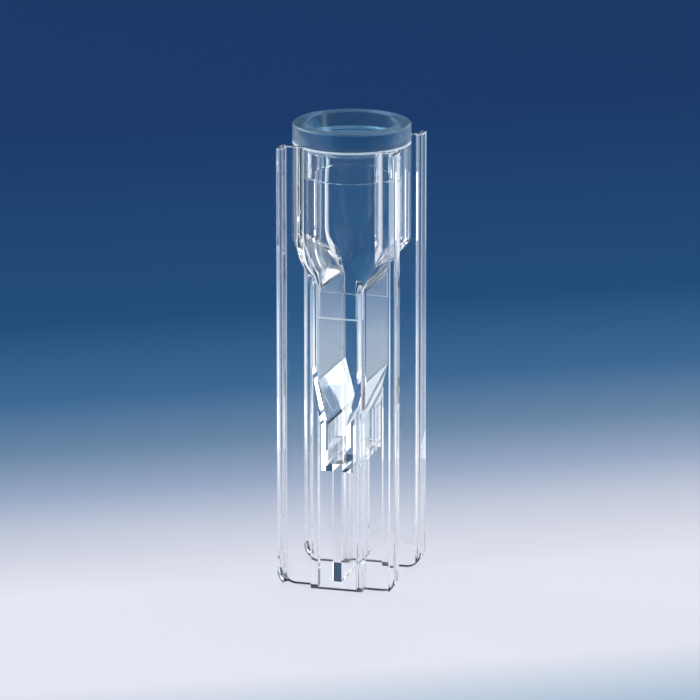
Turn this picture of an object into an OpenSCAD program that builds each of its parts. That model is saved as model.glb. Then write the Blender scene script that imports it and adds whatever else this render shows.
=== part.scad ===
// Micro cuvette with a round push-in cap.
// X runs across the flanges, Y runs along the light path, and Z runs up.
// The origin is at the middle of the base.

/* [Envelope] */
// Height from the base to the rim of the mouth
body_h = 45; // [40:0.5:55]
// Width across each flange
flange_w = 12.2; // [10.5:0.1:15]
// Depth over the edge beads of the two flanges
flange_d = 11.6; // [9.7:0.1:14]

/* [Flanges] */
// Width of the bead along each upright edge
bead_w = 0.65; // [0.5:0.05:0.9]
// Depth of that bead, front to back
bead_d = 1.85; // [1.5:0.05:2.2]
// Thickness of the wing plates
wing_t = 0.65; // [0.5:0.05:0.9]
// Radius of the two lower corners of a flange
corner_r = 1.6; // [1:0.1:2.5]

/* [Light path] */
// Distance between the inner faces of the two windows
light_path = 10; // [8:0.1:12]
// Thickness of a window
window_t = 0.65; // [0.5:0.05:0.9]

/* [Micro chamber] */
// Height of the light beam above the base
beam_z = 15; // [13:0.1:18]
// Height of the micro chamber above and below the beam
micro_reach = 2; // [1.5:0.1:2.5]
// Inner width of the micro chamber
micro_w = 1.9; // [1.6:0.1:2.4]
// Thickness of its side walls
micro_wall = 0.7; // [0.5:0.05:0.9]
// Thickness of its floor
floor_t = 0.75; // [0.5:0.05:1]

/* [Middle chamber] */
// Inner width of the middle chamber
middle_w = 4.1; // [3.5:0.1:4.8]
// Thickness of its side walls
middle_wall = 0.65; // [0.5:0.05:1]
// Height of the slope between the micro chamber and the middle chamber
slope_h = 4.3; // [3.5:0.1:5.2]
// Height of the flat windows above the base
window_top = 28; // [26:0.1:29]

/* [Mouth] */
// Bore of the mouth tube
bore_d = 9.9; // [8.2:0.1:11]
// Thickness of its wall
tube_wall = 0.95; // [0.75:0.05:1.4]
// Length of the straight mouth tube
tube_h = 9.9; // [9:0.1:11]
// Height of the funnel between the tube and the middle chamber
funnel_h = 4.1; // [3.5:0.1:5]
// Radius of the bends at both ends of the funnel
bend_r = 2.4; // [1:0.1:3]

/* [Web] */
// Thickness of the upright web under the micro chamber
web_t = 0.9; // [0.6:0.05:1.2]
// Gap between the web and the surface that the cuvette stands on
web_gap = 0.8; // [0.5:0.1:1.5]

/* [Cap] */
// Thickness of the cap's ring above the rim
cap_t = 1.8; // [1.4:0.05:2.2]
// Width of the chamfer around the top of the ring
cap_chamfer = 0.15; // [0.05:0.05:0.3]
// How far the rim of the dish lies inside the outer face of the plug
dish_inset = 0.39; // [0.3:0.01:0.7]
// Depth of the dish
dish_depth = 1.8; // [1.2:0.05:2.2]
// How much narrower the dish is at its floor
dish_draft = 0.3; // [0.1:0.05:0.5]
// Thickness of the cap's floor
cap_floor = 0.9; // [0.6:0.05:1.2]
// Length of the plug below the rim
plug_l = 3.4; // [2.8:0.1:4.5]
// Thickness of the plug's wall
plug_wall = 0.8; // [0.6:0.05:1]
// Radial clearance between the plug and the bore
plug_clearance = 0.06; // [0.04:0.01:0.1]
// How far the sealing bead stands out from the plug
seal_out = 0.03; // [0.01:0.01:0.03]
// Distance from the rim down to the middle of the sealing bead
seal_depth = 1.6; // [1.2:0.1:2]
// Height of the sealing bead
seal_h = 0.7; // [0.4:0.1:1]

/* [Hidden] */
$fn = 96;
// Steps in one bend of the funnel
bend_steps = 8;
// Overrun that makes joined shapes overlap and cuts go right through
lap = 0.1;

window_y = light_path / 2;
panel_y = window_y + window_t;
bead_y = flange_d / 2;
wing_in_y = bead_y - bead_d;
wing_out_y = wing_in_y + wing_t;
middle_x = middle_w / 2;
wall_x = middle_x + middle_wall;
micro_x = micro_w / 2;
micro_out_x = micro_x + micro_wall;
micro_floor = beam_z - micro_reach;
micro_top = beam_z + micro_reach;
slope_top = micro_top + slope_h;
bore_r = bore_d / 2;
tube_r = bore_r + tube_wall;
shoulder_z = body_h - tube_h;
neck_z = shoulder_z - funnel_h;
cap_top = body_h + cap_t;
dish_floor = cap_top - dish_depth;
plug_r = bore_r - plug_clearance;
dish_r = plug_r - dish_inset;
seal_z = body_h - seal_depth;

// Points of a round bend of radius r at corner b, on the way from a to c.
function bend(a, b, c, r) =
    let (
        u = (a - b) / norm(a - b),
        v = (c - b) / norm(c - b),
        half = acos(u * v) / 2,
        reach = r / tan(half),
        axis = (u + v) / norm(u + v),
        centre = b + axis * r / sin(half),
        from = b + u * reach - centre,
        to = b + v * reach - centre,
        sweep = 180 - 2 * half
    )
    [for (i = [0 : bend_steps])
        let (k = i / bend_steps)
        centre + (from * sin((1 - k) * sweep) + to * sin(k * sweep)) / sin(sweep)];

// One side of a funnel: narrow half width x0 up to neck height z0, wide half
// width x1 above height z1, from the level low to the level high.
function funnel_side(x0, z0, x1, z1, low, high) = concat(
    [[x0, low]],
    bend([x0, low], [x0, z0], [x1, z1], bend_r),
    bend([x0, z0], [x1, z1], [x1, high], bend_r),
    [[x1, high]]
);

// Closes one side and its mirror image to an outline.
function both_sides(side) = concat(
    side,
    [for (i = [len(side) - 1 : -1 : 0]) [-side[i][0], side[i][1]]]
);

// Extrudes an outline in X and Z along Y, half_y to each side.
module along_y(half_y) {
    rotate([90, 0, 0])
        linear_extrude(height = 2 * half_y, center = true)
            children();
}

// Copies its children to the front and to the back.
module front_and_back() {
    children();
    mirror([0, 1, 0]) children();
}

// Copies its children to the left and to the right.
module left_and_right() {
    children();
    mirror([1, 0, 0]) children();
}

// Upright slab from x0 to x1 and y0 to y1, standing on the base.
module slab(x0, x1, y0, y1, height) {
    translate([x0, y0, 0])
        cube([x1 - x0, y1 - y0, height]);
}

// Section of one flange at the back: wing plates, edge beads, ribs and panel.
module flange_section() {
    left_and_right() {
        slab(middle_x, flange_w / 2, wing_in_y, wing_out_y, body_h);
        slab(flange_w / 2 - bead_w, flange_w / 2, wing_in_y, bead_y, body_h);
        slab(middle_x, wall_x, min(wing_in_y, window_y), max(wing_out_y, panel_y), neck_z);
    }
    slab(-wall_x, wall_x, window_y, panel_y, neck_z);
}

// Front outline of a flange, with round lower corners.
module flange_outline() {
    flat_x = flange_w / 2 - corner_r;
    translate([-flange_w / 2, corner_r])
        square([flange_w, body_h - corner_r]);
    translate([-flat_x, 0])
        square([2 * flat_x, body_h]);
    left_and_right()
        translate([flat_x, corner_r])
            circle(r = corner_r);
}

module flange() {
    intersection() {
        flange_section();
        along_y(flange_d) flange_outline();
    }
}

// Mouth tube, funnel and the upper part of the middle chamber, from outside.
module mouth_outside() {
    intersection() {
        translate([0, 0, window_top])
            cylinder(r = tube_r, h = body_h - window_top);
        along_y(tube_r + lap)
            polygon(both_sides(
                funnel_side(wall_x, neck_z, tube_r, shoulder_z, window_top, body_h)));
        rotate([0, 0, 90])
            along_y(tube_r + lap)
                polygon(both_sides([
                    [panel_y, window_top],
                    [panel_y, neck_z],
                    [max(tube_r, panel_y), shoulder_z],
                    [max(tube_r, panel_y), body_h]]));
    }
}

// Middle chamber, slope and micro chamber, from outside.
module chamber_outside() {
    along_y(window_y + window_t / 2)
        polygon(both_sides([
            [micro_out_x, micro_floor - floor_t],
            [micro_out_x, micro_top],
            [wall_x, slope_top],
            [wall_x, neck_z]]));
}

module web() {
    translate([-web_t / 2, -window_y - window_t / 2, web_gap])
        cube([web_t, light_path + window_t, micro_floor - floor_t / 2 - web_gap]);
}

// Round bore that narrows to the width of the middle chamber.
module mouth_inside() {
    wall_rise = (tube_wall - middle_wall) * funnel_h / (tube_r - wall_x);
    intersection() {
        translate([0, 0, window_top])
            cylinder(r = bore_r, h = body_h + lap - window_top);
        along_y(tube_r)
            polygon(both_sides(funnel_side(
                middle_x, neck_z + wall_rise, bore_r, shoulder_z,
                window_top - lap, body_h + lap)));
    }
}

// Flat-walled chamber between the two windows.
module chamber_inside() {
    along_y(window_y)
        polygon(both_sides([
            [micro_x, micro_floor],
            [micro_x, micro_top],
            [middle_x, slope_top],
            [middle_x, window_top]]));
}

module cuvette_body() {
    color([0.82, 0.9, 0.96, 0.45])
    difference() {
        union() {
            front_and_back() flange();
            mouth_outside();
            chamber_outside();
            web();
        }
        mouth_inside();
        chamber_inside();
    }
}

module cap() {
    plug_in_r = plug_r - plug_wall;
    plug_end = body_h - plug_l;
    lead = seal_out + plug_clearance;
    seal_r = plug_r + seal_out;
    color([0.88, 0.91, 0.94])
    rotate_extrude()
        polygon([
            [0, dish_floor],
            [dish_r - dish_draft, dish_floor],
            [dish_r, cap_top],
            [tube_r - cap_chamfer, cap_top],
            [tube_r, cap_top - cap_chamfer],
            [tube_r, body_h],
            [plug_r, body_h],
            [plug_r, seal_z + seal_h / 2],
            [seal_r, seal_z + seal_h / 4],
            [seal_r, seal_z - seal_h / 4],
            [plug_r, seal_z - seal_h / 2],
            [plug_r, plug_end + lead],
            [plug_r - lead, plug_end],
            [plug_in_r, plug_end],
            [plug_in_r, dish_floor - cap_floor],
            [0, dish_floor - cap_floor]]);
}

cuvette_body();
cap();
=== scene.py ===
# %% [markdown]
# # A capped micro cuvette
# This lesson builds a small clear vessel for measuring liquids in a light beam, and its milky
# push-in cap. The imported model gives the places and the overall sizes, and the new pieces stand on
# it. Clear plastic shows mostly its edges, so the lesson spends its effort on small roundings, on
# clean flat faces, and on what stands round the object for the plastic to bend and mirror.

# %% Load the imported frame
import math

import bmesh
import bpy
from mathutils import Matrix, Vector


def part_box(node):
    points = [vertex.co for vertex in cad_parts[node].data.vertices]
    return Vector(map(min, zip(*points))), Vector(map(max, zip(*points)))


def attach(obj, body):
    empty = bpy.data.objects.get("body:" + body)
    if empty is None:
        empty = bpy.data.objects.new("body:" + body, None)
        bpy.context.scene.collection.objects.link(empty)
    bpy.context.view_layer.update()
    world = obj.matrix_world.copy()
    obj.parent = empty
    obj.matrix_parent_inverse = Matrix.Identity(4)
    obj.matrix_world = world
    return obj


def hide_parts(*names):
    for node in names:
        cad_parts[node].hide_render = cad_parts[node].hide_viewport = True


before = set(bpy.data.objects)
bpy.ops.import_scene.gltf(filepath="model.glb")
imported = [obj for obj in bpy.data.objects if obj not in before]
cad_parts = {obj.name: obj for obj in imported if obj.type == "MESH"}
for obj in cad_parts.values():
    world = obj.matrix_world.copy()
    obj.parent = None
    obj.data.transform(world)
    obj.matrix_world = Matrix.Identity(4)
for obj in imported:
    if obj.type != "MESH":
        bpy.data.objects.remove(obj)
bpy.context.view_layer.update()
MM = 0.001

# %% [markdown]
# ## Sizes of the moulding
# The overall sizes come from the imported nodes. The walls are a maker's usual walls for a thin
# injection moulding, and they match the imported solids. All the making is done in millimetres,
# because tiny numbers in metres upset the cutting tools, and each finished mesh is scaled once.

# %% Read the sizes
body_low, body_high = (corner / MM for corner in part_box("cuvette_body"))
cap_low, cap_high = (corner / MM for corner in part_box("cap"))
half_width = body_high.x
rim_z = body_high.z
tube_r = body_high.y
cap_r = cap_high.x
cap_top = cap_high.z
plug_end = cap_low.z
print(f"body {2 * half_width:.2f} wide, {rim_z:.2f} high, tube radius {tube_r:.2f}")
print(f"cap radius {cap_r:.2f}, from {plug_end:.2f} to {cap_top:.2f}")

# %% Walls and levels
# Widths, measured from the middle. A name that ends in _in is an inner face, _out an outer one.
bore_r = tube_r - 0.95
bead_out = 5.8
bead_in = 3.95
bead_width = 0.65
bead_x = half_width - bead_width
wing_thickness = 0.65
window_in = 5.0
window_out = 5.65
window_middle = (window_in + window_out) / 2
middle_in = 2.05
middle_out = 2.7
micro_in = 0.95
micro_out = 1.65
web_half = 0.45

# Levels, measured from the base.
web_gap = 0.8
micro_bottom = 12.25
micro_floor = 13.0
micro_top = 17.0
slope_top = 21.3
window_top = 28.0
throat_z = 30.4
neck_z = 31.0
shoulder_z = rim_z - 9.9

# Roundings.
corner_radius = 1.6
edge_softness = 0.11
lip_radius = 0.2
slot_radius = 0.4
ledge_radius = 0.14

# The upper core pin is a little shallower than the windows are apart, which leaves a ledge.
ledge_y = 4.85
overrun = 1  # a cutter sticks out this far
tuck = 0.01  # a joined piece stays this far inside its neighbour, so no two faces coincide
print("mouth from", shoulder_z, "to", rim_z, "and windows up to", window_top)

# %% [markdown]
# ## Shaping helpers
# A mould maker thinks of such a part as a few plain blocks, turned plugs and wedges, joined and
# cut. Each helper makes one of those with mesh operators, and one more joins and cuts them with
# Booleans. Modelling the whole outline by hand would take far more points, and a change to one
# wall would then move many of them.

# %% Blocks, prisms and turned plugs
NEAR, HAIR = 0.01, 0.001  # two lengths this close count as equal, loosely and strictly
SAME_POINT = 1e-4


def block(x0, x1, y0, y1, z0, z1):
    """A plain block between two corners."""
    bm = bmesh.new()
    bmesh.ops.create_cube(bm, size=1)
    bmesh.ops.scale(bm, vec=(x1 - x0, y1 - y0, z1 - z0), verts=bm.verts)
    bmesh.ops.translate(bm, vec=((x0 + x1) / 2, (y0 + y1) / 2, (z0 + z1) / 2), verts=bm.verts)
    return bm


def prism(half_outline, half_depth):
    """A symmetric outline, given as its right-hand side from the bottom up, pushed through."""
    bm = bmesh.new()
    right = [bm.verts.new((x, -half_depth, z)) for x, z in half_outline]
    left = [bm.verts.new((-x, -half_depth, z)) for x, z in reversed(half_outline)]
    face = bm.faces.new(right + left)
    pushed = bmesh.ops.extrude_face_region(bm, geom=[face])["geom"]
    moved = [v for v in pushed if isinstance(v, bmesh.types.BMVert)]
    bmesh.ops.translate(bm, vec=(0, 2 * half_depth, 0), verts=moved)
    bmesh.ops.recalc_face_normals(bm, faces=bm.faces)
    return bm


def turned(profile, steps=128):
    """A profile of radius and height, turned once round, with no corner on an axis."""
    bm = bmesh.new()
    start = math.pi / steps
    points = [bm.verts.new((r * math.cos(start), r * math.sin(start), z)) for r, z in profile]
    edges = [bm.edges.new(pair) for pair in zip(points, points[1:])]
    bmesh.ops.spin(bm, geom=points + edges, axis=(0, 0, 1), cent=(0, 0, 0), steps=steps,
                   angle=2 * math.pi, use_merge=True)
    bmesh.ops.remove_doubles(bm, verts=bm.verts, dist=SAME_POINT)
    bmesh.ops.recalc_face_normals(bm, faces=bm.faces)
    return bm


# The clear moulding's materials, in order: polished plastic; roundings whose haze and pale share
# are partly a painted highlight; a near-black foot, which is painted shade; and pale lip and ledge
# roundings, which are a painted highlight.
POLISHED, SOFT_EDGE, PAINTED_FOOT_SHADE, PAINTED_LINE_HIGHLIGHT = range(4)


def round_edges(bm, edges, radius, steps, finish=POLISHED):
    """Rounds edges that all turn by the same angle to one radius."""
    turn = edges[0].calc_face_angle()
    bmesh.ops.bevel(bm, geom=edges, affect="EDGES", offset=radius * math.tan(turn / 2),
                    segments=steps, profile=0.5, material=finish, clamp_overlap=False)
    bmesh.ops.recalc_face_normals(bm, faces=bm.faces)
    return bm


def sharp_edges(bm, angle=30):
    """The edges that turn by more than an angle in degrees."""
    return [e for e in bm.edges if e.calc_face_angle(0) > math.radians(angle)]


def runs_along_depth(edge):
    """An edge from front to back, whose two ends are equally far aside."""
    return abs(edge.verts[0].co.x - edge.verts[1].co.x) < NEAR


def runs_across(edge):
    """An edge from left to right, whose two ends are equally far back."""
    return abs(edge.verts[0].co.y - edge.verts[1].co.y) < NEAR


# %% Joining and cutting
SAME_PLANE = math.radians(0.2)


def as_object(bm, name="workpiece"):
    """Moves a bmesh into an object of its own."""
    mesh = bpy.data.meshes.new(name)
    bm.to_mesh(mesh)
    bm.free()
    for _ in (POLISHED, SOFT_EDGE, PAINTED_FOOT_SHADE, PAINTED_LINE_HIGHLIGHT):
        mesh.materials.append(None)
    piece = bpy.data.objects.new(name, mesh)
    bpy.context.scene.collection.objects.link(piece)
    return piece


def worked(base, *jobs, solver="EXACT"):
    """Does a list of Boolean jobs on a bmesh, in order, and returns the result as a bmesh."""
    piece = as_object(base)
    tools = []
    for job, tool in jobs:
        tools.append(as_object(tool, "tool"))
        step = piece.modifiers.new(job, "BOOLEAN")
        step.operation, step.object, step.solver = job, tools[-1], solver
    graph = bpy.context.evaluated_depsgraph_get()
    mesh = bpy.data.meshes.new_from_object(piece.evaluated_get(graph))
    bm = bmesh.new()
    bm.from_mesh(mesh)
    bmesh.ops.remove_doubles(bm, verts=bm.verts, dist=SAME_POINT)
    bmesh.ops.dissolve_limit(bm, angle_limit=SAME_PLANE, verts=bm.verts, edges=bm.edges,
                             delimit={"MATERIAL"})
    for thing in [piece] + tools:
        bpy.data.meshes.remove(thing.data)
    bpy.data.meshes.remove(mesh)
    open_edges = sum(not e.is_manifold for e in bm.edges)
    print(f"  {len(jobs)} jobs: {len(bm.faces)} faces, {bm.calc_volume():.1f} mm3, "
          f"open {open_edges}")
    return bm


def mirrored(bm, axis):
    """A mirror copy with its faces still pointing out."""
    copy = bm.copy()
    bmesh.ops.scale(copy, vec=[-1 if a == axis else 1 for a in "XYZ"], verts=copy.verts)
    bmesh.ops.reverse_faces(copy, faces=copy.faces)
    return copy


# %% [markdown]
# ## The two flanges
# A flange is the flat frame that a holder guides: two thin wings, a thick bead down each outer
# edge, and a shallow box of ribs and window panel between them. Plain blocks make it, because
# it is pushed straight up the mould. One outline rounds both lower corners, and then every edge
# is softened, while the shape is still simple enough for a clean bevel. These blocks share many
# flat faces, and the exact solver copes with those.

# %% Make the flanges
def joins_funnel(edge):
    """The funnel joins on at the neck, so the edges there stay crisp."""
    return all(abs(v.co.z - neck_z) < NEAR for v in edge.verts)


def takes_painted_foot_shade(face):
    """A face that the part stands on, or that rounds the foot and its two corners.

    Such a face takes the near-black colour, which is painted shade where the part meets the floor.
    """
    middle = face.calc_center_median()
    if middle.z < HAIR:
        return True
    aside = abs(middle.x) - (half_width - corner_radius)
    above = corner_radius - middle.z
    reach = math.hypot(aside, above) if aside > 0 and above > 0 else above
    return face.material_index == SOFT_EDGE and reach > corner_radius - 1.05 * edge_softness


def make_flange():
    right_side = [
        block(bead_x, half_width, bead_in, bead_out, 0, rim_z),
        block(middle_in, middle_out, bead_in, window_out, 0, neck_z),
    ]
    panel = block(-middle_out, middle_out, window_in, window_out, 0, neck_z)
    wing = block(middle_in, half_width, bead_in, bead_in + wing_thickness, 0, rim_z)
    adds = [("UNION", mirrored(wing, "X"))]
    for part in right_side:
        adds += [("UNION", mirrored(part, "X")), ("UNION", part)]
    adds.append(("UNION", panel))
    outline = block(-half_width, half_width, -tube_r - overrun, tube_r + overrun,
                    0, rim_z + overrun)
    lower = [e for e in sharp_edges(outline)
             if max(v.co.z for v in e.verts) < NEAR and runs_along_depth(e)]
    round_edges(outline, lower, corner_radius, steps=12)
    flange = worked(wing, *adds, ("INTERSECT", outline))
    edges = [e for e in sharp_edges(flange) if not joins_funnel(e)]
    # The roundings are hazier with a pale share, which is partly a painted highlight on the edges.
    bmesh.ops.bevel(flange, geom=edges, affect="EDGES", offset=edge_softness, segments=3,
                    profile=0.5, material=SOFT_EDGE, clamp_overlap=False)
    # The underside, the foot's rounding and its corners turn near black: painted shade for the dark
    # line where the part meets the floor.
    for face in flange.faces:
        if takes_painted_foot_shade(face):
            face.material_index = PAINTED_FOOT_SHADE
    print("  flange with soft edges:", len(flange.faces), "faces")
    return flange


back_flange = make_flange()
front_flange = mirrored(back_flange, "Y")

# %% [markdown]
# ## Mouth, funnel and chambers
# The mouth is a round tube that a core pin leaves hollow. Below it a funnel leads over from the
# round tube to the narrow box, and its bends are eased, because liquid must run down without
# hanging. A loft would do it, and so does a turned plug whose lower rings are moved inwards, ring
# by ring, which keeps the round part truly round. The chambers below are plain wedges. The lip is
# rounded on the turned plug itself, because a bevel after the joining would have to run through
# the wings. The last join and both cuts use the manifold solver, which is made for closed solids
# that overlap, and every piece here is one.

# %% Outside of the mouth
SMOOTH_SHARE, FLARE_SHARE = 0.6, 0.4  # the funnel's line is part even S and part flare


def ring_levels(low, high, rings=24):
    """Evenly spaced levels for the rings of a funnel."""
    return [low + (high - low) * i / rings for i in range(rings + 1)]


def narrowed(plug, low, high, half_x, half_y, radius):
    """Leads a turned plug over to a box with round corners, between two levels."""
    for point in plug.verts:
        wide = math.hypot(point.co.x, point.co.y)
        if wide < NEAR or point.co.z > high - HAIR:
            continue
        climb = max(0.0, (point.co.z - low) / (high - low))
        eased = SMOOTH_SHARE * climb * climb * (3 - 2 * climb) + FLARE_SHARE * climb ** 1.5
        corner = radius + eased * (wide - radius)
        for i, half in enumerate((half_x, half_y)):
            way = point.co[i] / wide
            point.co[i] = math.copysign((1 - eased) * (half - radius), way) + corner * way
    plug.normal_update()
    ends = [f for f in plug.faces if abs(f.normal.z) > 0.999]
    bmesh.ops.dissolve_faces(plug, faces=ends)
    funnel = [f for f in plug.faces if low < f.calc_center_median().z < high and len(f.verts) < 5]
    bmesh.ops.triangulate(plug, faces=funnel)
    return plug


def make_mouth():
    root_z = window_top + 1
    side = [(tube_r, z) for z in ring_levels(neck_z, shoulder_z)]
    tube = turned([(0, root_z), (tube_r, root_z), *side, (tube_r, rim_z), (0, rim_z)])
    lip = [e for e in sharp_edges(tube) if min(v.co.z for v in e.verts) > rim_z - NEAR]
    # The lip's rounding is pale and mostly matte, a painted highlight for the bright line of the
    # rim.
    round_edges(tube, lip, lip_radius, steps=4, finish=PAINTED_LINE_HIGHLIGHT)
    return narrowed(tube, neck_z, shoulder_z, middle_out - 2 * tuck, window_out - tuck,
                    edge_softness)


mouth = make_mouth()
print("mouth:", len(mouth.faces), "faces")

# %% Inside of the mouth and the chambers
def make_bore():
    """The upper core pin: round above, and a slot with round corners at its end."""
    side = [(bore_r, z) for z in ring_levels(throat_z, shoulder_z)]
    pin = turned([(0, window_top), (bore_r, window_top), *side, (bore_r, rim_z + overrun),
                  (0, rim_z + overrun)])
    return narrowed(pin, throat_z, shoulder_z, middle_in - tuck, ledge_y, slot_radius)


def make_hollow():
    """The lower core, with its top edges rounded where it meets the upper one at the ledge."""
    core = prism([(micro_in, micro_floor), (micro_in, micro_top), (middle_in, slope_top),
                  (middle_in, window_top + tuck)], window_in)
    ledge = [e for e in sharp_edges(core)
             if min(v.co.z for v in e.verts) > window_top and runs_across(e)]
    # The ledge's rounding is pale in the same way, a painted highlight for the bright line there.
    return round_edges(core, ledge, ledge_radius, steps=2, finish=PAINTED_LINE_HIGHLIGHT)


bore = make_bore()
hollow = make_hollow()
wall_x = middle_out - tuck
chamber_top = neck_z - 0.2
chamber = prism([(micro_out, micro_bottom), (micro_out, micro_top), (wall_x, slope_top),
                 (wall_x, chamber_top)], window_middle)
web = block(-web_half, web_half, -window_middle, window_middle,
            web_gap, (micro_floor + micro_bottom) / 2)
clear = worked(back_flange, ("UNION", front_flange), ("UNION", mouth), ("UNION", chamber),
               ("UNION", web), ("DIFFERENCE", bore), ("DIFFERENCE", hollow),
               solver="MANIFOLD")


# %% [markdown]
# ## Shade the moulding and hand it over
# The joints between the tube, the funnel and the chambers stay crisp, as a mould leaves them. The
# shading is smooth only over curves and over the roundings, and the flat faces weigh more than
# the small ones, so a wide window stays flat up to its edge.

# %% Finish the clear moulding
CURVE_TURN = 8  # faces that meet at less than this many degrees belong to one curve
ROUNDING_TURN = 50  # the same limit next to a rounding


def crease(bm):
    """Smooth shading that still keeps every flat face flat. Soft edges blend into both sides."""
    for face in bm.faces:
        face.smooth = True
    for edge in bm.edges:
        turn = math.degrees(edge.calc_face_angle(0))
        blends = any(face.material_index != POLISHED for face in edge.link_faces)
        edge.smooth = turn < CURVE_TURN or (blends and turn < ROUNDING_TURN)


def finished(bm, name, body, node):
    """Scales a part to metres, shades it and hands it to the frame."""
    crease(bm)
    bmesh.ops.scale(bm, vec=(MM, MM, MM), verts=bm.verts)
    mesh = bpy.data.meshes.new(name)
    bm.to_mesh(mesh)
    bm.free()
    piece = bpy.data.objects.new(name, mesh)
    bpy.context.scene.collection.objects.link(piece)
    flat = piece.modifiers.new("flat faces", "WEIGHTED_NORMAL")
    flat.keep_sharp = True
    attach(piece, body)
    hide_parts(node)
    print(name, len(mesh.vertices), "points,", len(mesh.polygons), "faces")
    return piece


cuvette = finished(clear, "clear_moulding", "cuvette", "cuvette_body")

# %% [markdown]
# ## The cap
# The cap is one soft turned shape: a ring that rests on the rim, a dish that a thumb presses, and
# a hollow plug with a slight sealing bead. Its section is spun round the upright axis. The ring
# hovers a hair above the rim, so that the two faces don't coincide.

# %% Turn the cap
seat = rim_z + 0.02
cap_chamfer = 0.15
rim_softness = 0.1
dish_depth = 1.8
dish_inset = 0.39
dish_draft = 0.3
dish_floor = cap_top - dish_depth
cap_floor = 0.9
plug_r = bore_r - 0.06
plug_wall = 0.8
plug_lead = 0.09
seal_r = plug_r + 0.03
seal_z = rim_z - 1.6
seal_half = 0.35

# The ring and its soft edges are thick and tinted dark blue. The plug and the dish are thinner:
# the plug nearly clear, the dish a lighter blue. Both blues are the backdrop's blue, painted into
# the milky plastic. The dish's faces are those inside a cylinder that ends a little below the top.
PLUG, DISH = 2, 3
dish_zone_r = bore_r - 0.3
dish_zone_z = cap_top - 0.05


def cap_section():
    """Half of the cap's section, as radius and height, from the dish round to the underside."""
    dish_r = plug_r - dish_inset
    inner_r = plug_r - plug_wall
    return [(0, dish_floor), (dish_r - dish_draft, dish_floor), (dish_r, cap_top),
            (cap_r - cap_chamfer, cap_top), (cap_r, cap_top - cap_chamfer), (cap_r, seat),
            (plug_r, seat),
            (plug_r, seal_z + seal_half), (seal_r, seal_z + seal_half / 2),
            (seal_r, seal_z - seal_half / 2), (plug_r, seal_z - seal_half),
            (plug_r, plug_end + plug_lead), (plug_r - plug_lead, plug_end),
            (inner_r, plug_end), (inner_r, dish_floor - cap_floor),
            (0, dish_floor - cap_floor)]


def make_cap():
    bm = turned(cap_section(), steps=160)
    rims = [e for e in sharp_edges(bm, 50) if abs(e.verts[0].co.z - e.verts[1].co.z) < NEAR]
    bmesh.ops.bevel(bm, geom=rims, affect="EDGES", offset=rim_softness, segments=3, profile=0.5,
                    material=SOFT_EDGE, clamp_overlap=False)
    for face in bm.faces:
        middle = face.calc_center_median()
        if middle.z < rim_z - NEAR:
            face.material_index = PLUG
        elif middle.z < dish_zone_z and math.hypot(middle.x, middle.y) < dish_zone_r:
            face.material_index = DISH
    print("  cap:", len(bm.faces), "faces", f"{bm.calc_volume():.1f} mm3")
    return bm


cap = finished(make_cap(), "milky_cap", "cap", "cap")

# %% [markdown]
# ## Clear plastic and milky plastic
# Both are one Principled shader that passes light. The clear one is polished, with a faint long
# waviness from the mould and a little haze. Its roundings are hazier with a pale share, partly a
# painted highlight; its underside and foot are near black, which is painted shade; and its lip and
# ledge roundings are pale, a painted highlight. The milky one scatters part of the light, and its
# ring and dish are tinted with the backdrop's blue, painted in. Lamps reach through the clear
# plastic, because a thin clear wall casts hardly any shadow.

# %% Node helpers
def new_material(name):
    material = bpy.data.materials.new(name)
    material.use_nodes = True
    material.node_tree.nodes.clear()
    return material, material.node_tree.nodes, material.node_tree.links


def ranged(nodes, links, value, start, end, low=0.0, high=1.0, easing="LINEAR"):
    """Low up to the start, high from the end on, and a ramp between them."""
    step = nodes.new("ShaderNodeMapRange")
    step.interpolation_type = easing
    for name, number in (("From Min", start), ("From Max", end), ("To Min", low),
                         ("To Max", high)):
        step.inputs[name].default_value = number
    links.new(value, step.inputs["Value"])
    return step.outputs["Result"]


def combined(nodes, links, operation, first, second):
    """Two values joined by one operation. Each is a number or another node's output."""
    joint = nodes.new("ShaderNodeMath")
    joint.operation = operation
    for socket, value in zip(joint.inputs, (first, second)):
        if isinstance(value, (int, float)):
            socket.default_value = value
        else:
            links.new(value, socket)
    return joint.outputs["Value"]


MIX_SOCKETS, MIX_RESULT = (6, 7), 2  # the colour sockets of a Mix node


def blended(nodes, links, share, first, second):
    """Two colours mixed by a share. Each is a plain colour or another node's output."""
    mix = nodes.new("ShaderNodeMix")
    mix.data_type = "RGBA"
    links.new(share, mix.inputs["Factor"])
    for socket, colour in zip(MIX_SOCKETS, (first, second)):
        if isinstance(colour, tuple):
            mix.inputs[socket].default_value = (*colour, 1)
        else:
            links.new(colour, mix.inputs[socket])
    return mix.outputs[MIX_RESULT]


def mixed_shader(nodes, links, share, first, second):
    """Two shaders mixed by a share."""
    mix = nodes.new("ShaderNodeMixShader")
    for socket, source in zip(mix.inputs, (share, first, second)):
        links.new(source, socket)
    return mix.outputs["Shader"]


def noise(nodes, links, scale, detail=2.0):
    """A noise pattern on Object coordinates. A scale of 1000 gives grains of about a millimetre."""
    place = nodes.new("ShaderNodeTexCoord")
    pattern = nodes.new("ShaderNodeTexNoise")
    pattern.inputs["Scale"].default_value = scale
    pattern.inputs["Detail"].default_value = detail
    links.new(place.outputs["Object"], pattern.inputs["Vector"])
    return pattern.outputs["Fac"]


def spread(nodes, links, value, low, high):
    """Maps the middle part of a noise pattern to a range."""
    return ranged(nodes, links, value, 0.3, 0.7, low, high)


def waviness(nodes, links, scale, strength, distance):
    """A soft bump from a noise pattern."""
    bump = nodes.new("ShaderNodeBump")
    bump.inputs["Strength"].default_value = strength
    bump.inputs["Distance"].default_value = distance
    links.new(noise(nodes, links, scale), bump.inputs["Height"])
    return bump.outputs["Normal"]


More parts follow.
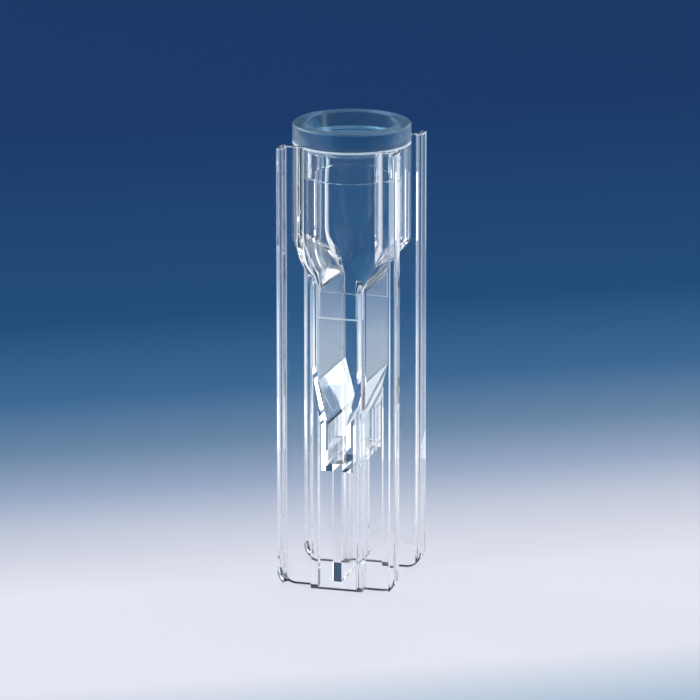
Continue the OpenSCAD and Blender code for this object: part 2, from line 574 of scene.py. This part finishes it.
# %% Make both materials
def let_lamps_through(nodes, links, shader, colour):
    """Lamps reach through thin clear plastic, so a shadow ray meets a plain tint instead."""
    path = nodes.new("ShaderNodeLightPath")
    tinted = nodes.new("ShaderNodeBsdfTransparent")
    tinted.inputs["Color"].default_value = (*colour, 1)
    out = nodes.new("ShaderNodeOutputMaterial")
    links.new(mixed_shader(nodes, links, path.outputs["Is Shadow Ray"], shader.outputs["BSDF"],
                           tinted.outputs["BSDF"]), out.inputs["Surface"])


def make_clear_plastic(name, haze, clearness, tint=(1, 1, 1), wave=0.05):
    material, nodes, links = new_material(name)
    plastic = nodes.new("ShaderNodeBsdfPrincipled")
    plastic.inputs["Base Color"].default_value = (*tint, 1)
    plastic.inputs["Transmission Weight"].default_value = clearness
    plastic.inputs["IOR"].default_value = 1.5
    grain = noise(nodes, links, scale=260)
    links.new(spread(nodes, links, grain, *haze), plastic.inputs["Roughness"])
    links.new(waviness(nodes, links, scale=150, strength=wave, distance=0.0002),
              plastic.inputs["Normal"])
    let_lamps_through(nodes, links, plastic, (0.86, 0.88, 0.9))
    return material


def make_milky_plastic(name, clearness, dark, light, haze, bending=1.5):
    material, nodes, links = new_material(name)
    plastic = nodes.new("ShaderNodeBsdfPrincipled")
    plastic.inputs["Transmission Weight"].default_value = clearness
    plastic.inputs["IOR"].default_value = bending
    cloud = spread(nodes, links, noise(nodes, links, scale=400), 0, 1)
    links.new(blended(nodes, links, cloud, dark, light), plastic.inputs["Base Color"])
    grain = noise(nodes, links, scale=900)
    links.new(spread(nodes, links, grain, *haze), plastic.inputs["Roughness"])
    links.new(waviness(nodes, links, scale=700, strength=0.08, distance=0.0001),
              plastic.inputs["Normal"])
    let_lamps_through(nodes, links, plastic, (0.6, 0.66, 0.72))
    return material


clear_plastic_and_painted_light = (
    make_clear_plastic("clear_plastic_polished", (0.0, 0.02), 1.0),
    # Hazy with a pale share: partly haze on the roundings, partly a painted highlight on the edges.
    make_clear_plastic("clear_plastic_edge_haze_and_painted_highlight", (0.08, 0.14), 0.8, tint=(0.9, 0.93, 1.0),
                       wave=0.01),
    # Near black: painted shade for the dark line where the part meets the floor, and its underside.
    make_clear_plastic("clear_plastic_painted_foot_shade", (0.2, 0.3), 0.05, tint=(0.015, 0.025, 0.035),
                       wave=0.01),
    # Pale and mostly matte: a painted highlight for the bright lines at the lip and the ledge.
    make_clear_plastic("clear_plastic_painted_line_highlight", (0.2, 0.3), 0.3, tint=(0.86, 0.94, 1.0), wave=0.01),
)
# The ring's dark blue is the backdrop's blue, painted into the milky plastic.
thick = make_milky_plastic("milky_plastic_thick_painted_blue", 0.96, dark=(0.08, 0.19, 0.31),
                           light=(0.1, 0.22, 0.36), haze=(0.3, 0.34))
thin = make_milky_plastic("milky_plastic_thin", 0.99, dark=(0.86, 0.92, 0.96),
                          light=(0.9, 0.95, 0.98), haze=(0.05, 0.08), bending=1.1)
# The dish's lighter blue is the backdrop's blue, painted in as well.
dish = make_milky_plastic("milky_plastic_dish_painted_blue", 0.88, dark=(0.15, 0.4, 0.64),
                          light=(0.18, 0.44, 0.68), haze=(0.2, 0.24), bending=1.3)
for piece, finishes in ((cuvette, clear_plastic_and_painted_light), (cap, (thick, thick, thin, dish))):
    for finish in finishes:
        piece.data.materials.append(finish)
print("materials", [m.name for m in bpy.data.materials])

# %% [markdown]
# ## The studio
# Clear plastic is shown against a backdrop that fades, so that its edges can be brighter than
# what lies behind them. Here the pale floor itself fades to deep blue away from the part. A
# studio for glass also has white cards at both sides of the backdrop, out of the picture. Their
# place is taken by two white sectors of the floor and the world, which only the plastic sees.

# %% Colours and directions of the studio
def srgb(r, g, b):
    """A colour as a paint chart gives it, 0 to 255, made linear."""
    return tuple((c / 255 / 12.92) if c <= 10 else ((c / 255 + 0.055) / 1.055) ** 2.4
                 for c in (r, g, b))


def way_at(degrees):
    """The level direction that is turned from straight back to the left by an angle."""
    return (-math.sin(math.radians(degrees)), math.cos(math.radians(degrees)), 0)


look_angle = 16.23
look_way = way_at(look_angle)
side_way = (look_way[1], -look_way[0], 0)
fade_way = way_at(30)

# The floor, in metres. Its fade is given as distances in millimetres, and colours.
floor_radius = 2.2
floor_drop = 0.00002
fade_length = 200
floor_pale = srgb(223, 225, 236)
floor_fade = [(8, srgb(214, 216, 228)), (22, srgb(188, 195, 213)), (36, srgb(145, 162, 190)),
              (51, srgb(103, 132, 162)), (72, srgb(60, 102, 145)), (105, srgb(35, 75, 121))]
floor_deep = srgb(28, 58, 104)
floor_front = srgb(90, 150, 185)
front_fade = (-0.03, -0.06)
glow_share = 0.6  # the floor's colour is seen partly as it is, and partly as the lamps light it

# The white sides and how they darken with distance. A sector is given by its two soft borders,
# each as sideways over forwards, and by how far from the part it begins.
white = (0.94, 0.97, 1.0)
side_fade = [(85, (0.93, 0.96, 1.0)), (97, (0.84, 0.91, 1.0)), (106, (0.56, 0.67, 0.84)),
             (116, (0.38, 0.48, 0.63))]
side_deep = (0.28, 0.38, 0.5)
left_sector = ((-0.55, -0.65), (-1.4, -1.6))
right_sector = ((0.3, 0.42), (0.85, 1.05))
sector_start = (0.015, 0.035)

world_dark = srgb(50, 78, 105)
world_light = 0.55
print("looking along", [round(c, 3) for c in look_way])

# %% Helpers for the white sides
def along(nodes, links, vector, way):
    """How far a place lies along a direction."""
    dot = nodes.new("ShaderNodeVectorMath")
    dot.operation = "DOT_PRODUCT"
    dot.inputs[1].default_value = way
    links.new(vector, dot.inputs[0])
    return dot.outputs["Value"]


def eased_step(nodes, links, value, start, end):
    """0 up to the start, 1 from the end on, and a soft step between."""
    return ranged(nodes, links, value, start, end, easing="SMOOTHSTEP")


def between(nodes, links, value, start, end):
    """1 between two soft steps and 0 outside."""
    return combined(nodes, links, "SUBTRACT", eased_step(nodes, links, value, *start),
                    eased_step(nodes, links, value, *end))


def both_sides(nodes, links, vector, inner):
    """1 in both sectors behind the part, and apart from it 1 on the left alone.

    The bearing of a place is sideways over forwards. The inner distance is added to forwards, so
    that the bearing doesn't jump close to the part.
    """
    sideways = along(nodes, links, vector, side_way)
    forwards = along(nodes, links, vector, look_way)
    depth = combined(nodes, links, "ADD",
                     combined(nodes, links, "MAXIMUM", forwards, 0.0), inner)
    ratio = combined(nodes, links, "DIVIDE", sideways, depth)
    behind = eased_step(nodes, links, forwards, -0.01, 0.0)
    left = between(nodes, links, ratio, *left_sector)
    right = between(nodes, links, ratio, *right_sector)
    sides = combined(nodes, links, "MAXIMUM", left, right)
    return combined(nodes, links, "MULTIPLY", sides, behind), left


def through_plastic(nodes, links):
    """1 for rays that the plastic has mirrored or bent, 0 for the straight view."""
    path = nodes.new("ShaderNodeLightPath")
    return combined(nodes, links, "SUBTRACT", 1.0, path.outputs["Is Camera Ray"])


def seen_rays(nodes, links):
    """1 for rays that show the background: straight, mirrored or through clear plastic."""
    path = nodes.new("ShaderNodeLightPath")
    total = path.outputs["Is Camera Ray"]
    for kind in ("Is Glossy Ray", "Is Transmission Ray"):
        total = combined(nodes, links, "MAXIMUM", total, path.outputs[kind])
    return total


# %% Floor
def make_disc():
    """A thin round floor, a hair below the part."""
    bm = bmesh.new()
    bmesh.ops.create_circle(bm, cap_ends=True, segments=96, radius=floor_radius)
    bmesh.ops.translate(bm, vec=(0, 0, -floor_drop), verts=bm.verts)
    mesh = bpy.data.meshes.new("floor")
    bm.to_mesh(mesh)
    bm.free()
    disc = bpy.data.objects.new("floor", mesh)
    bpy.context.scene.collection.objects.link(disc)
    return disc


def colour_ramp(nodes, links, distance, first, stops, last):
    """A colour that changes with the distance, from the first one to the last."""
    ramp = nodes.new("ShaderNodeValToRGB")
    elements = ramp.color_ramp.elements
    elements[0].color, elements[1].color = (*first, 1), (*last, 1)
    for spot, colour in stops:
        elements.new(spot / fade_length).color = (*colour, 1)
    links.new(ranged(nodes, links, distance, 0.0, fade_length * MM), ramp.inputs["Fac"])
    return ramp.outputs["Color"]


def floor_tone(nodes, links):
    """The floor's colour: its fade to the back, its front, and the white sides for the plastic."""
    place = nodes.new("ShaderNodeTexCoord").outputs["Object"]
    back = along(nodes, links, place, fade_way)
    fade = colour_ramp(nodes, links, back, floor_pale, floor_fade, floor_deep)
    front = ranged(nodes, links, back, *front_fade)
    ground = blended(nodes, links, front, fade, floor_front)
    length = nodes.new("ShaderNodeVectorMath")
    length.operation = "LENGTH"
    links.new(place, length.inputs[0])
    away = length.outputs["Value"]
    sides, left = both_sides(nodes, links, place, inner=0.008)
    dimmed = colour_ramp(nodes, links, away, white, side_fade, side_deep)
    side = blended(nodes, links, left, dimmed, white)
    clear_of_part = eased_step(nodes, links, away, *sector_start)
    unseen = combined(nodes, links, "MULTIPLY", clear_of_part, through_plastic(nodes, links))
    share = combined(nodes, links, "MULTIPLY", sides, unseen)
    return blended(nodes, links, share, ground, side)


def make_floor():
    floor = make_disc()
    material, nodes, links = new_material("fading_floor")
    tone = floor_tone(nodes, links)
    lit = nodes.new("ShaderNodeBsdfDiffuse")
    glow = nodes.new("ShaderNodeEmission")
    for shader in (lit, glow):
        links.new(tone, shader.inputs["Color"])
    share = combined(nodes, links, "MULTIPLY", seen_rays(nodes, links), glow_share)
    out = nodes.new("ShaderNodeOutputMaterial")
    links.new(mixed_shader(nodes, links, share, lit.outputs["BSDF"], glow.outputs["Emission"]),
              out.inputs["Surface"])
    floor.data.materials.append(material)
    print("floor radius", floor_radius, "with", len(nodes), "nodes")
    return floor


floor = make_floor()

# %% World and lamps
def make_world():
    """An even soft light, and for the seen rays a dark tent with the two white sides."""
    world = bpy.data.worlds.new("studio")
    bpy.context.scene.world = world
    world.use_nodes = True
    nodes, links = world.node_tree.nodes, world.node_tree.links
    nodes.clear()
    soft = nodes.new("ShaderNodeBackground")
    soft.inputs["Color"].default_value = (1, 1, 1, 1)
    soft.inputs["Strength"].default_value = world_light
    way = nodes.new("ShaderNodeTexCoord")
    sides, _ = both_sides(nodes, links, way.outputs["Generated"], inner=0.001)
    tent = nodes.new("ShaderNodeBackground")
    links.new(blended(nodes, links, sides, world_dark, white), tent.inputs["Color"])
    out = nodes.new("ShaderNodeOutputWorld")
    links.new(mixed_shader(nodes, links, seen_rays(nodes, links), soft.outputs["Background"],
                           tent.outputs["Background"]), out.inputs["Surface"])


def softbox(name, place, width, height, radiance, target=(0, 0, 0.02), lights_floor=True):
    """A soft lamp of even brightness, aimed at the part."""
    lamp = bpy.data.lights.new(name, "AREA")
    lamp.shape, lamp.size, lamp.size_y = "RECTANGLE", width, height
    lamp.energy = radiance * math.pi * width * height
    holder = bpy.data.objects.new(name, lamp)
    bpy.context.scene.collection.objects.link(holder)
    holder.location = place
    holder.rotation_mode = "QUATERNION"
    holder.rotation_quaternion = (Vector(target) - Vector(place)).to_track_quat("-Z", "Y")
    holder.visible_camera = False
    holder.visible_diffuse = lights_floor
    print("lamp", name, f"{lamp.energy:.3f} W")


make_world()

# The large lamps light the whole studio.
softbox("left_softbox", (-0.35, -0.3, 0.42), 0.25, 0.25, 6)
softbox("right_strip", (0.42, 0.02, 0.25), 0.1, 0.4, 5)
softbox("left_strip", (-0.4, 0.15, 0.2), 0.1, 0.4, 5)
softbox("top_panel", (0.05, 0.15, 0.6), 0.4, 0.3, 2)

# The small ones behind the part only give the plastic something bright to bend and mirror: the
# two low ones at the slope and the micro chamber, the two high ones at the funnel and the tube.
softbox("low_back_box", (0.0483, 0.1315, 0.0047), 0.0046, 0.0085, 3.8,
        target=(-0.0025, 0.001, 0.0047), lights_floor=False)
softbox("low_card", (0.0125, 0.051, 0.0005), 0.012, 0.02, 1.0,
        target=(0.0125, 0.051, 0.5), lights_floor=False)
softbox("high_back_box", (0.07, 0.187, 0.05), 0.025, 0.05, 5,
        target=(0, 0, 0.05), lights_floor=False)
softbox("high_back_halo", (0.072, 0.192, 0.07), 0.05, 0.11, 1.0,
        target=(0, 0, 0.07), lights_floor=False)

# %% Camera
def make_camera(azimuth, elevation, distance, lens, aim, right=0.0, up=0.0):
    """A camera on a sphere round the aim, moved sideways and up in its own picture plane."""
    a, e = math.radians(azimuth), math.radians(elevation)
    away = Vector((math.sin(a) * math.cos(e), -math.cos(a) * math.cos(e), math.sin(e)))
    turn = (-away).to_track_quat("-Z", "Y")
    aim = Vector(aim) + turn @ Vector((right, up, 0))
    data = bpy.data.cameras.new("camera")
    data.lens, data.sensor_width = lens, 36
    data.clip_start, data.clip_end = 0.01, 10
    camera = bpy.data.objects.new("camera", data)
    bpy.context.scene.collection.objects.link(camera)
    camera.rotation_mode = "QUATERNION"
    camera.location, camera.rotation_quaternion = aim + away * distance, turn
    bpy.context.scene.camera = camera
    print("camera at", [round(c, 3) for c in camera.location])


make_camera(look_angle, elevation=15.07, distance=0.6504, lens=334.95, aim=(0, 0, 0.0225),
            right=-0.00018, up=0.0009)
scene = bpy.context.scene
scene.view_settings.view_transform = "Standard"

# Light passes many thin clear walls before it leaves the part, so it needs many bounces.
scene.cycles.max_bounces = 24
scene.cycles.transmission_bounces = 24
scene.cycles.glossy_bounces = 12
scene.cycles.transparent_max_bounces = 24
